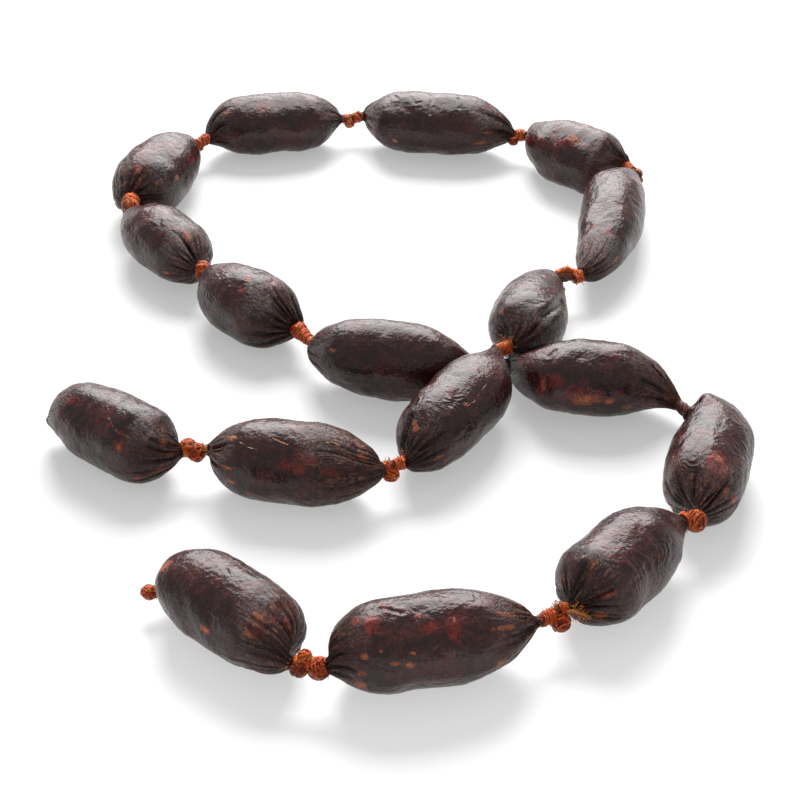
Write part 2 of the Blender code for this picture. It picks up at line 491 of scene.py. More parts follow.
@dataclass(frozen=True)
class TwineFinish:
    """Twisted twine soaked orange by the links' fat and pepper."""

    orange: Colour = (0.52, 0.060, 0.009)
    amber: Colour = (0.70, 0.200, 0.042)
    deep: Colour = (0.140, 0.011, 0.004)
    straw: Colour = (0.72, 0.40, 0.120)
    sheen: Colour = (1.0, 0.58, 0.32)
    roughness: float = 0.15
    specular: float = 0.62

    def build(self) -> bpy.types.Material:
        """Makes the material."""
        paint = Paint("twine")
        place = paint.place()
        lay = paint.field("lay", vector=True)
        tone = paint.field("tone")
        fibres = paint.noise(paint.stretched(lay, (1.0, 1.0, 0.5)), 6, 2, 0.5)
        blotch = paint.noise(place, 420, 3, 0.6)
        shade = paint.noise(place, 260, 3, 0.6, 0.5)
        colour = paint.mix(blotch.step(0.50, 0.66), self.orange, self.amber)
        # Deep where the tone is low, which takes in the painted shade where the twine sinks between
        # turns.
        colour = paint.mix((shade * 1.3 - tone).step(0.76, 1.20), colour, self.deep)
        colour = paint.mix((tone + (fibres - 0.5) * 0.8).step(0.30, 0.80), colour, self.straw)
        # Painted shade: deep red-brown in the low parts of the fibres' relief, which the bump below
        # raises from the same noise.
        colour = paint.mix(fibres.step(0.50, 0.34) * 0.55, colour, self.deep)
        normal = paint.bump(fibres, 0.00040)
        normal = paint.bump(paint.noise(place, 520, 1, 0.5, 0.5), 0.00030, normal)
        roughness = self.roughness + (shade - 0.5) * 0.4
        return paint.finish(Base_Color=colour, Roughness=roughness, Normal=normal,
                            Specular_IOR_Level=self.specular, Specular_Tint=self.sheen)


@dataclass(frozen=True)
class NeckFinish:
    """Casing twisted tight under a tie: dark red-brown and greasy."""

    dark: Colour = (0.030, 0.008, 0.005)
    warm: Colour = (0.30, 0.046, 0.012)

    def build(self) -> bpy.types.Material:
        """Makes the material."""
        paint = Paint("neck")
        lay = paint.field("lay", vector=True)
        ropes = paint.noise(paint.stretched(lay, (1.0, 1.0, 0.25)), 5, 4, 0.65)
        patch = paint.noise(paint.place(), 420, 3, 0.6)
        colour = paint.mix((ropes + (patch - 0.5) * 0.7).step(0.46, 0.72), self.dark, self.warm)
        normal = paint.bump(ropes, 0.0006)
        return paint.finish(Base_Color=colour, Roughness=0.32, Normal=normal,
                            Specular_IOR_Level=0.3)


# ------------------------------------------------------------------ pieces

def add_piece(name: str, mesh: bpy.types.Mesh, material: bpy.types.Material, slot: str,
              *nodes: str) -> bpy.types.Object:
    """Puts a finished mesh into the scene as a piece of the string.

    Args:
        name: the piece's name.
        mesh: its mesh, in metres and in place.
        material: its finish.
        slot: the material slot's name. It is not used.
        nodes: the solids that it stands for.

    Returns:
        The piece.
    """
    piece = bpy.data.objects.new(name, mesh)
    bpy.context.scene.collection.objects.link(piece)
    mesh.materials.append(material)
    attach(piece, "root")
    if nodes:
        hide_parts(*nodes)
    log.info("%s: %d faces", name, len(mesh.polygons))
    return piece


@dataclass(frozen=True)
class Gather:
    """The pleats where the casing is drawn in to one neck."""

    folds: int = 30
    depth: float = 1.3
    reach: float = 28.0
    threads: float = 0.7


class Show(Enum):
    """What shows through the casing at a mark."""

    FAT = "fat"
    MEAT = "meat"


@dataclass(frozen=True)
class Mark:
    """A patch where fat or meat shows: place along the link from 0 to 1, side in degrees."""

    show: Show
    place: float
    side: float
    long: float
    wide: float
    strength: float = 1.0


@dataclass(frozen=True)
class Swelling:
    """A local rise of the casing, or a dent where height is below 0."""

    place: float
    side: float
    height: float
    long: float
    wide: float


@dataclass(frozen=True)
class Wrinkles:
    """A patch of ripples across the link, a crease apart."""

    place: float
    side: float
    long: float
    wide: float
    height: float = 0.20
    apart: float = 2.3


class Trace(Enum):
    """What a line on the casing is."""

    VEIN = "vein"
    CREASE = "crease"


@dataclass(frozen=True)
class Line:
    """A golden vein, or a sunk crease darkened along it as painted shade, through points of (place
    along, side in degrees).
    """

    trace: Trace
    points: tuple[tuple[float, float], ...]
    width: float = 0.8
    depth: float = 0.5


@dataclass
class Link:
    """One sausage of the string, drawn on the rings of its solid."""

    number: int
    rear: Gather = Gather()
    front: Gather = Gather()
    marks: tuple[Mark, ...] = ()
    swellings: tuple[Swelling, ...] = ()
    wrinkles: tuple[Wrinkles, ...] = ()
    lines: tuple[Line, ...] = ()
    redness: float = 0.0
    sides: int = 280
    steps: int = 160
    solid_sides: int = 20
    kept_waves: int = 6
    tuck: float = 1.2
    grid: Array = field(init=False, repr=False)

    def __post_init__(self) -> None:
        """Reads the solid's rings and lays the smooth casing over them."""
        low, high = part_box(f"tie_{self.number - 1:02d}")
        solid = SolidRings(f"link_{self.number:02d}", self.solid_sides, (low + high) / 2)
        rings = self.with_tucked_ends(self.rounded(solid.rings))
        self.grid = self.evenly_spaced(rings)
        self.angle = np.arange(self.sides) / self.sides * WHOLE_TURN
        middle = self.grid.mean(axis=1)
        spokes = np.linalg.norm(self.grid - middle[:, None], axis=2)
        self.radius = spokes.mean(axis=1)
        step = np.linalg.norm(np.diff(self.grid, axis=0), axis=2).mean(axis=1)
        self.run = np.concatenate([[0.0], np.cumsum(step)])
        self.length = float(self.run[-1])
        self.girth = float(self.radius.max())

    def rounded(self, rings: Array) -> Array:
        """Rings of many points, through a solid's rings less their finest pleats.

        Args:
            rings: the solid's rings.

        Returns:
            The rings, each with this link's number of sides.
        """
        waves = np.fft.rfft(rings, axis=1)[:, : self.kept_waves + 1]
        order = np.arange(self.kept_waves + 1)
        waves = waves * np.exp(-1j * WHOLE_TURN * order * 0.5 / self.solid_sides)[None, :, None]
        return np.fft.irfft(waves, n=self.sides, axis=1) * (self.sides / self.solid_sides)

    def with_tucked_ends(self, rings: Array) -> Array:
        """Adds a ring at each end, inside the tie.

        Args:
            rings: the rings from neck to neck.

        Returns:
            The rings with two more.
        """
        centres = rings.mean(axis=1)
        ends = []
        for ring, inner in ((0, 1), (-1, -2)):
            normal = np.cross(rings[ring, 0] - centres[ring],
                              rings[ring, self.sides // 4] - centres[ring])
            normal /= np.linalg.norm(normal)
            away = centres[ring] - centres[inner]
            normal *= math.copysign(1.0, float(normal @ away))
            shrunk = centres[ring] + (rings[ring] - centres[ring]) * 0.8
            ends.append(shrunk + normal * self.tuck)
        return np.concatenate([ends[0][None], rings, ends[1][None]])

    def evenly_spaced(self, rings: Array) -> Array:
        """A smooth skin through rings, cut into even steps along the link.

        Args:
            rings: the rings that it passes through.

        Returns:
            Its grid of points.
        """
        gaps = np.linalg.norm(np.diff(rings, axis=0), axis=2).mean(axis=1)
        knots = np.concatenate([[0.0], np.cumsum(gaps)])
        slopes = np.gradient(rings, knots, axis=0)

        def skin(at: Array) -> Array:
            """The skin's rings at these distances."""
            index = np.clip(np.searchsorted(knots, at, side="right") - 1, 0, len(gaps) - 1)
            width = gaps[index][:, None, None]
            share = ((at - knots[index]) / gaps[index])[:, None, None]
            square, cube = share**2, share**3
            return ((2 * cube - 3 * square + 1) * rings[index]
                    + (cube - 2 * square + share) * width * slopes[index]
                    + (3 * square - 2 * cube) * rings[index + 1]
                    + (cube - square) * width * slopes[index + 1])

        tries = np.linspace(0.0, knots[-1], 600)
        gone = np.linalg.norm(np.diff(skin(tries)[:, ::10], axis=0), axis=2).mean(axis=1)
        run = np.concatenate([[0.0], np.cumsum(gone)])
        return skin(np.interp(np.linspace(0.0, run[-1], self.steps + 1), run, tries))

    def outward(self) -> Array:
        """The direction that the casing faces at each point of the grid."""
        around = np.roll(self.grid, -1, axis=1) - np.roll(self.grid, 1, axis=1)
        along = np.gradient(self.grid, axis=0)
        normal = np.cross(around, along)
        normal /= np.linalg.norm(normal, axis=2)[..., None] + 1e-9
        spokes = self.grid - self.grid.mean(axis=1)[:, None]
        return normal * np.sign((normal * spokes).sum(axis=(1, 2)))[:, None, None]

    def distance(self, place: float, side: float, long: float, wide: float) -> Array:
        """How far each point lies from a spot, in lengths along and widths around.

        Args:
            place: the spot's place along the link, from 0 to 1.
            side: its side, in degrees from the left over the top.
            long: the length that counts as 1 along the link.
            wide: the length that counts as 1 around it.

        Returns:
            The distances.
        """
        turn = (self.angle - math.radians(side) + math.pi) % WHOLE_TURN - math.pi
        around = turn[None, :] * self.radius[:, None]
        along = (self.run - place * self.length)[:, None]
        return np.hypot(along / long, around / wide)

    def from_line(self, line: Line) -> Array:
        """How far each point lies from a line, in millimetres.

        Args:
            line: the line.

        Returns:
            The distances.
        """
        nearest = np.full((len(self.run), self.sides), 99.0)
        for start, end in zip(line.points, line.points[1:]):
            for share in np.linspace(0, 1, 12):
                place = start[0] + (end[0] - start[0]) * share
                side = start[1] + (end[1] - start[1]) * share
                nearest = np.minimum(nearest, self.distance(place, side, 1.0, 1.0))
        return nearest

    def pleats(self, gather: Gather, from_neck: Array, seed: int) -> Array:
        """The folds of casing that run out from one neck.

        Args:
            gather: how the casing is drawn in there.
            from_neck: each row's distance from that neck.
            seed: picks the folds.

        Returns:
            How deep the casing is folded in, in millimetres.
        """
        draw = np.random.default_rng(seed)
        base = np.arange(gather.folds) / gather.folds * WHOLE_TURN
        turns = base + draw.uniform(-0.45, 0.45, gather.folds) * WHOLE_TURN / gather.folds
        total = np.zeros((len(from_neck), self.sides))
        for turn in turns:
            reach = gather.reach * draw.uniform(0.40, 1.15)
            depth = gather.depth * 1.2 * draw.uniform(0.25, 1.0) ** 1.3
            width = draw.uniform(0.026, 0.070)
            curl = draw.normal(0, 0.12)
            share = from_neck / reach
            path = turn + curl * share + 0.04 * np.sin(share * draw.uniform(3, 8))
            swing = (self.angle[None, :] - path[:, None] + math.pi) % WHOLE_TURN - math.pi
            fade = smooth(share, 1.0, 0.30) * (0.3 + 0.7 * smooth(self.radius, 3.5, 9.0))
            total += (depth * fade)[:, None] * np.exp(-np.abs(swing / width))
        return total

    def shape(self) -> dict[str, Array]:
        """Works the gathers, lumps and wrinkles into the grid.

        Returns:
            The fields that the finish reads.
        """
        normal = self.outward()
        ripples = Ripples(1000 + self.number)
        second = Ripples(2000 + self.number)
        along = self.run[:, None] * np.ones(self.sides)[None, :]
        swell = smooth(self.radius, 4.0, 15.0)[:, None]

        lift = ripples.at(self.grid, 17.0) * 0.30 * swell
        lift += second.at(self.grid, 9.5) * 0.11 * swell
        crumple = second.at(self.grid, 5.5)
        lift += (crumple * 0.8 - np.abs(ripples.at(self.grid, 7.0)) + 0.3) * 0.08 * swell
        lift -= np.maximum(0.0, 0.22 - np.abs(second.at(self.grid, 9.0))) * 0.35 * swell
        lift += second.at(self.grid, 2.2) * 0.04 * swell

        rear = self.pleats(self.rear, self.run, 10 * self.number)
        front = self.pleats(self.front, self.length - self.run, 10 * self.number + 1)
        folds = rear + front
        lift -= folds - folds.mean(axis=1, keepdims=True) * 0.9

        for swelling in self.swellings:
            away = self.distance(swelling.place, swelling.side, swelling.long, swelling.wide)
            lift += swelling.height * np.exp(-(away**2))
        for patch in self.wrinkles:
            away = self.distance(patch.place, patch.side, patch.long, patch.wide)
            wander = ripples.at(self.grid, 11.0) * 1.6
            wave = np.sin((along + wander * 2) * WHOLE_TURN / patch.apart)
            lift += patch.height * wave * np.exp(-(away**2))
        for line in self.lines:
            if line.trace is Trace.CREASE:
                away = self.from_line(line) / line.width
                lift += line.depth * (0.25 * np.exp(-((away - 2.2) ** 2)) - np.exp(-(away**2)))
                # A crease also adds to the folds, so it is darkened there as painted shade.
                folds = folds + line.depth * np.exp(-(away**2))

        self.grid = self.grid + normal * lift[..., None]
        self.grid[..., 2] = np.maximum(self.grid[..., 2], 0.0)
        return self.fields(folds, along)

    def fields(self, folds: Array, along: Array) -> dict[str, Array]:
        """What the finish reads at each point.

        Args:
            folds: how deep the casing is folded.
            along: the distance from the rear neck.

        Returns:
            The fields by name.
        """
        spots = {show: np.zeros_like(folds) for show in Show}
        for mark in self.marks:
            away = self.distance(mark.place, mark.side, mark.long, mark.wide)
            level = mark.strength * smooth(away, 1.5, 0.2)
            spots[mark.show] = np.maximum(spots[mark.show], level)
        vein = np.full_like(folds, 9.0)
        for line in self.lines:
            if line.trace is Trace.VEIN:
                vein = np.minimum(vein, self.from_line(line) / line.width)
        near_rear = smooth(along, self.rear.reach * 1.1, 2.0)
        near_front = smooth(self.length - along, self.front.reach * 1.1, 2.0)
        ones = np.ones_like(folds)
        lay = np.stack([np.cos(self.angle)[None, :] * ones, np.sin(self.angle)[None, :] * ones,
                        along / self.girth], -1)
        lay = lay + self.number * np.array([3.1, 1.7, 0.0])
        return {
            "lay": lay,
            "meat": spots[Show.MEAT] + self.redness,
            "fat": spots[Show.FAT],
            "vein": vein,
            "streak": self.rear.threads * near_rear + self.front.threads * near_front,
            "gather": np.maximum(near_rear, near_front),
            # Painted shade in the pleat valleys and creases, read by the finish.
            "fold": smooth(folds, 0.15, 0.9),
        }

    def build(self, material: bpy.types.Material) -> bpy.types.Object:
        """Makes the piece.

        Args:
            material: its finish.

        Returns:
            The piece.
        """
        fields = self.shape()
        name = f"casing_{self.number:02d}"
        mesh = tube_mesh(name, self.grid, fields)
        return add_piece(name, mesh, material, "casing", f"link_{self.number:02d}")


@dataclass(frozen=True)
class Winding:
    """Turns of twine round the string, from rear to front of the tie's middle.

    tone is the twine's colour: -1 is deep red-brown, 0 orange, and 1 straw.
    """

    rear: float
    front: float
    turns: float = 4.0
    rear_radius: float = 3.8
    front_radius: float = 3.8
    left: float = 0.0
    up: float = 0.0
    tone: float = 0.0


@dataclass(frozen=True)
class Lump:
    """A knot of twine, placed ahead, left and up of the tie's middle."""

    ahead: float
    left: float
    up: float
    radius: float
    thick: float = 0.9
    loops: int = 5
    tone: float = 0.0


@dataclass(frozen=True)
class Tuft:
    """Loose fibres, placed ahead, left and up of the tie's middle."""

    ahead: float
    left: float
    up: float
    count: int = 24
    spread: float = 1.6
    length: float = 2.2
    tone: float = 0.9


@dataclass(frozen=True)
class Strand:
    """A loose strand through points ahead, left and up of the tie's middle."""

    points: tuple[tuple[float, float, float], ...]
    radius: float = 1.0
    tone: float = 0.0


class End(Enum):
    """Which end of a tie is the string's own free end."""

    NONE = 0
    REAR = -1
    FRONT = 1


@dataclass
class Tie:
    """Twine wound over the neck between two links, and the knots that hold it."""

    number: int
    windings: tuple[Winding, ...] = ()
    lumps: tuple[Lump, ...] = ()
    tufts: tuple[Tuft, ...] = ()
    strands: tuple[Strand, ...] = ()
    free: End = End.NONE
    bare: bool = False
    fuzz: int = 16
    fuzz_length: float = 1.4
    solid_sides: int = 8
    neck_radius: float = 2.5
    painted_crevice_shade: float = 0.9
    middle: Array = field(init=False, repr=False)

    def __post_init__(self) -> None:
        """Reads the tie's place and the way it faces from its solid."""
        node = f"tie_{self.number:02d}"
        low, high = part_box(node)
        middle = (low + high) / 2
        if self.number:
            low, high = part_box(f"link_{self.number:02d}")
            start = (low + high) / 2
        else:
            low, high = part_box("link_01")
            start = middle * 2 - (low + high) / 2
        solid = SolidRings(node, self.solid_sides, start)
        span = solid.centres[-1] - solid.centres[0]
        self.middle = (solid.centres[0] + solid.centres[-1]) / 2
        self.length = float(np.linalg.norm(span))
        ahead = span / self.length
        left = np.cross((0, 0, 1), ahead)
        left /= np.linalg.norm(left)
        self.axes = np.stack([ahead, left, np.cross(ahead, left)])
        self.draw = np.random.default_rng(500 + self.number)
        self.meshes: list[bpy.types.Mesh] = []

    def at(self, ahead: Array | float, left: Array | float, up: Array | float) -> Array:
        """Points at distances ahead, left and up of the tie's middle."""
        offsets = np.stack(np.broadcast_arrays(ahead, left, up), -1).astype(float)
        points = self.middle + offsets @ self.axes
        points[..., 2] = np.maximum(points[..., 2], 1.0)
        return points

    def twine(self, path: Array, radius: float | Array, tone: float = 0.0, plies: int = 3,
              sides: int = 12, core: Array | None = None) -> None:
        """Adds a length of twisted twine, with painted shade where it sinks in between its neighbours.

        Args:
            path: its middle line, in millimetres.
            radius: its radius.
            tone: its colour.
            plies: how many yarns are twisted in it, or 0 for a smooth round.
            sides: how many sides its section has.
            core: the point or points that it is wound about, if any.
        """
        grid, lay = swept(path, radius, sides, plies, lay_length=5.0)
        grid[..., 2] = np.maximum(grid[..., 2], 0.1)
        tone_and_crevice_shade = np.full(grid.shape[:2], tone)
        if core is not None:
            spokes = grid - path[:, None]
            outward = (path - core)[:, None]
            facing = (spokes * outward).sum(axis=2)
            facing /= np.linalg.norm(spokes, axis=2) * np.linalg.norm(outward, axis=2) + 1e-9
            # Painted shade: the twine is darkened where it faces in, between its neighbours.
            tone_and_crevice_shade -= self.painted_crevice_shade * smooth(facing, 0.88, 0.40)
        self.meshes.append(tube_mesh("twine", grid, {"lay": lay, "tone": tone_and_crevice_shade}))

    def wind(self, winding: Winding) -> None:
        """Winds the twine round the neck."""
        share = np.linspace(0, 1, int(winding.turns * 30) + 1)
        length = winding.front - winding.rear
        thick = min(1.45, length / winding.turns / 2 * 1.12)
        angle = share * winding.turns * WHOLE_TURN + self.draw.uniform(0, WHOLE_TURN)
        uneven = 0.16 * np.sin(share * 23 + self.number) + 0.12 * np.sin(share * 41)
        outer = winding.rear_radius + (winding.front_radius - winding.rear_radius) * share
        spread = outer - thick + uneven
        ahead = winding.rear + thick + share * (length - 2 * thick)
        ahead = ahead + 0.35 * np.sin(angle + self.number)
        path = self.at(ahead, winding.left + np.cos(angle) * spread,
                       winding.up + np.sin(angle) * spread)
        ends = smooth(share, 0.0, 0.04) * smooth(share, 1.0, 0.96)
        radius = thick * (1 + 0.10 * np.sin(share * 31 + self.number)) * (0.4 + 0.6 * ends)
        axis = self.at(ahead, winding.left, winding.up)
        self.twine(path, radius, winding.tone, core=axis)
        core = self.at(np.linspace(winding.rear, winding.front, 9), winding.left, winding.up)
        inner = min(winding.rear_radius, winding.front_radius) - thick
        self.twine(core, max(inner, 0.5), -0.8, 0)

    def knot(self, lump: Lump) -> None:
        """Ties a lump of loops that run every way over each other."""
        turn = np.linspace(0, WHOLE_TURN, 56)
        centre = self.at(lump.ahead, lump.left, lump.up)
        for index in range(lump.loops):
            first = self.draw.normal(size=3)
            first /= np.linalg.norm(first)
            second = np.cross(first, self.draw.normal(size=3))
            second /= np.linalg.norm(second)
            third = np.cross(first, second)
            reach = (lump.radius - lump.thick) * (1 - 0.07 * (index % 3))
            tilt = 0.35 * np.sin(2 * turn + index)
            path = centre + reach * (np.outer(np.cos(turn) * np.cos(tilt), first)
                                     + np.outer(np.sin(turn) * np.cos(tilt), second)
                                     + np.outer(np.sin(tilt), third))
            tone = lump.tone + self.draw.normal(0, 0.12)
            self.twine(path, lump.thick * self.draw.uniform(0.85, 1.15), tone, 3, 10, centre)
        tip = np.linspace(0, math.pi, 13)
        path = centre + np.outer(-np.cos(tip) * (lump.radius - lump.thick), (0, 0, 1))
        self.twine(path, np.sin(tip) * (lump.radius - lump.thick) + 0.02, lump.tone - 0.5, 0, 16)

    def loose(self, strand: Strand) -> None:
        """Lays a loose strand through its points."""
        points = np.array(strand.points, float)
        knots = np.arange(len(points))
        share = np.linspace(0, len(points) - 1, 12 * len(points))
        slopes = np.gradient(points, axis=0)
        index = np.minimum(share.astype(int), len(points) - 2)
        part = (share - knots[index])[:, None]
        path = ((2 * part**3 - 3 * part**2 + 1) * points[index]
                + (part**3 - 2 * part**2 + part) * slopes[index]
                + (3 * part**2 - 2 * part**3) * points[index + 1]
                + (part**3 - part**2) * slopes[index + 1])
        radius = strand.radius * (1 + 0.15 * np.sin(share * 5 + self.number))
        self.twine(self.at(*path.T), radius, strand.tone, 2, 14)

    def hair(self, start: Array, way: Array, length: float, tone: float) -> None:
        """Adds one loose fibre."""
        share = np.linspace(0, 1, 5)
        bend = self.draw.normal(0, 0.45, 3)
        path = start + np.outer(share * length, way) + np.outer(share**2 * length, bend)
        self.twine(path, 0.20 * (1 - 0.5 * share), tone, 0, 4)

    def fray(self, tuft: Tuft) -> None:
        """Frays a spot into loose fibres."""
        for _ in range(tuft.count):
            offset = self.draw.normal(0, tuft.spread / 2, 3)
            start = self.at(*(np.array([tuft.ahead, tuft.left, tuft.up]) + offset))
            way = offset @ self.axes + self.draw.normal(0, 0.6, 3)
            length = tuft.length * self.draw.uniform(0.5, 1.2)
            self.hair(start, way / np.linalg.norm(way), length,
                      tuft.tone * self.draw.uniform(0.5, 1.2))

    def frayed(self) -> None:
        """Frays the windings a little all over."""
        for winding in self.windings:
            for _ in range(self.fuzz):
                turn = self.draw.uniform(0, WHOLE_TURN)
                out = np.array([0.0, math.cos(turn), math.sin(turn)])
                radius = (winding.rear_radius + winding.front_radius) / 2 - 0.4
                start = self.at(self.draw.uniform(winding.rear, winding.front),
                                winding.left + out[1] * radius, winding.up + out[2] * radius)
                way = (out + self.draw.normal(0, 0.6, 3)) @ self.axes
                length = self.fuzz_length * self.draw.uniform(0.5, 1.2)
                self.hair(start, way / np.linalg.norm(way), length, self.draw.uniform(0, 0.8))

    def neck(self, material: bpy.types.Material) -> None:
        """Makes the twisted casing that runs through the tie.

        Args:
            material: its finish.
        """
        reach = self.length / 2 + 1.5
        rear = 0.0 if self.free is End.REAR else -reach
        front = 0.0 if self.free is End.FRONT else reach
        share = np.linspace(0, 1, 40)
        radius = self.neck_radius + (0.7 if self.bare else 0.0) * np.sin(share * math.pi)
        path = self.at(rear + share * (front - rear), 0.0, 0.0)
        grid, lay = swept(path, radius, 28, plies=5, lay_length=16.0, groove=0.3)
        name = f"neck_{self.number:02d}"
        nodes = (f"tie_{self.number:02d}",) if self.bare else ()
        add_piece(name, tube_mesh(name, grid, {"lay": lay}), material, "casing", *nodes)

    def build(self, twine: bpy.types.Material, neck: bpy.types.Material) -> None:
        """Makes the pieces.

        Args:
            twine: the finish of the twine.
            neck: the finish of the casing inside it.
        """
        self.neck(neck)
        if self.bare:
            return
        for winding in self.windings:
            self.wind(winding)
        for lump in self.lumps:
            self.knot(lump)
        for strand in self.strands:
            self.loose(strand)
        for tuft in self.tufts:
            self.fray(tuft)
        self.frayed()
        name = f"twine_{self.number:02d}"
        add_piece(name, joined(name, self.meshes), twine, "twine", f"tie_{self.number:02d}")


# ------------------------------------------------------------------ studio

@dataclass(frozen=True)
class Studio:
    """The pale floor, the soft light and the camera."""

    elevation: float = 36.0
    distance: float = 0.7913
    lens: float = 76.0
    look_at: tuple[float, float, float] = (0.00366, -0.06349, 0.019)
    floor_side: float = 30.0
    floor_tone: float = 0.40
    floor_glow: float = 0.53
    far_glow: float = 0.70
    room: float = 0.55

    def floor(self) -> None:
        """Lays the floor, whose glow is painted light that lifts the shadows on it, more towards the
        front.
        """
        bm = bmesh.new()
        bmesh.ops.create_grid(bm, x_segments=2, y_segments=2, size=self.floor_side / 2)
        mesh = bpy.data.meshes.new("floor")
        bm.to_mesh(mesh)
        bm.free()
        mesh.transform(Matrix.Translation((0, 0, -0.0001)))
        floor = bpy.data.objects.new("floor", mesh)
        bpy.context.scene.collection.objects.link(floor)
        paint = Paint("floor")
        # Painted light: the floor glows brighter towards the front, to lighten the shadows there.
        near = paint.node("ShaderNodeSeparateXYZ", {}, {"Vector": paint.place()}, "Y")
        glow = paint.mix(near.step(-0.04, -0.24), (self.far_glow,) * 3, (1.0, 1.0, 1.0))
        mesh.materials.append(paint.finish(Base_Color=(self.floor_tone,) * 3, Roughness=0.75,
                                           Specular_IOR_Level=0.2, Emission_Color=glow,
                                           Emission_Strength=self.floor_glow))

    def light(self) -> None:
        """Hangs the lamp and the white panel that the casing mirrors, and fills the room."""
        self.lamp("lamp", (0.0, 2.32, 2.02), (0.0, 0.0, 0.0), (1.8, 1.6), 255.0)
        self.lamp("panel", (0.005, 0.56, 0.385), (0.005, 0.36, 0.0), (0.93, 0.90), 13.5,
                  mirrored=True)
        world = bpy.data.worlds.new("room")
        world.use_nodes = True
        back = world.node_tree.nodes["Background"]
        back.inputs["Color"].default_value = (1.0, 1.0, 1.0, 1.0)
        back.inputs["Strength"].default_value = self.room
        bpy.context.scene.world = world

    def lamp(self, name: str, place: tuple[float, float, float],
             aim: tuple[float, float, float], size: tuple[float, float], power: float,
             mirrored: bool = False) -> None:
        """Hangs a flat lamp.

        Args:
            name: its name.
            place: where its middle is.
            aim: the point that it faces.
            size: its width and depth.
            power: its power in watts.
            mirrored: whether it only shows in glossy surfaces, and lights nothing else.
        """
        light = bpy.data.lights.new(name, "AREA")
        light.shape = "ELLIPSE" if mirrored else "RECTANGLE"
        light.size, light.size_y = size
        light.energy = power
        lamp = bpy.data.objects.new(name, light)
        lamp.location = place
        way = Vector(aim) - lamp.location
        lamp.rotation_euler = way.to_track_quat("-Z", "Y").to_euler()
        lamp.visible_glossy = mirrored
        lamp.visible_diffuse = not mirrored
        bpy.context.scene.collection.objects.link(lamp)

    def camera(self) -> None:
        """Sets up the camera."""
        lens = bpy.data.cameras.new("camera")
        lens.lens = self.lens
        lens.sensor_width = 36.0
        camera = bpy.data.objects.new("camera", lens)
        angle = math.radians(self.elevation)
        target = Vector(self.look_at)
        camera.location = target + Vector((0, -math.cos(angle), math.sin(angle))) * self.distance
        camera.rotation_euler = (target - camera.location).to_track_quat("-Z", "Y").to_euler()
        bpy.context.scene.collection.objects.link(camera)
        bpy.context.scene.camera = camera

    def build(self) -> None:
        """Makes the studio."""
        self.floor()
        self.light()
        self.camera()
        bpy.context.scene.view_settings.view_transform = "Standard"
        bpy.context.scene.view_settings.look = "None"


def fat(place: float, side: float, long: float, wide: float, strength: float = 1.0) -> Mark:
    """A spot of orange fat."""
    return Mark(Show.FAT, place, side, long, wide, strength)


def meat(place: float, side: float, long: float, wide: float, strength: float = 1.0) -> Mark:
    """A patch of red meat."""
    return Mark(Show.MEAT, place, side, long, wide, strength)


def vein(*points: tuple[float, float], width: float = 0.5) -> Line:
    """A golden vein."""
    return Line(Trace.VEIN, points, width)


def crease(*points: tuple[float, float], width: float = 0.8, depth: float = 0.6) -> Line:
    """A sunk crease, darkened along it as painted shade."""
    return Line(Trace.CREASE, points, width, depth)


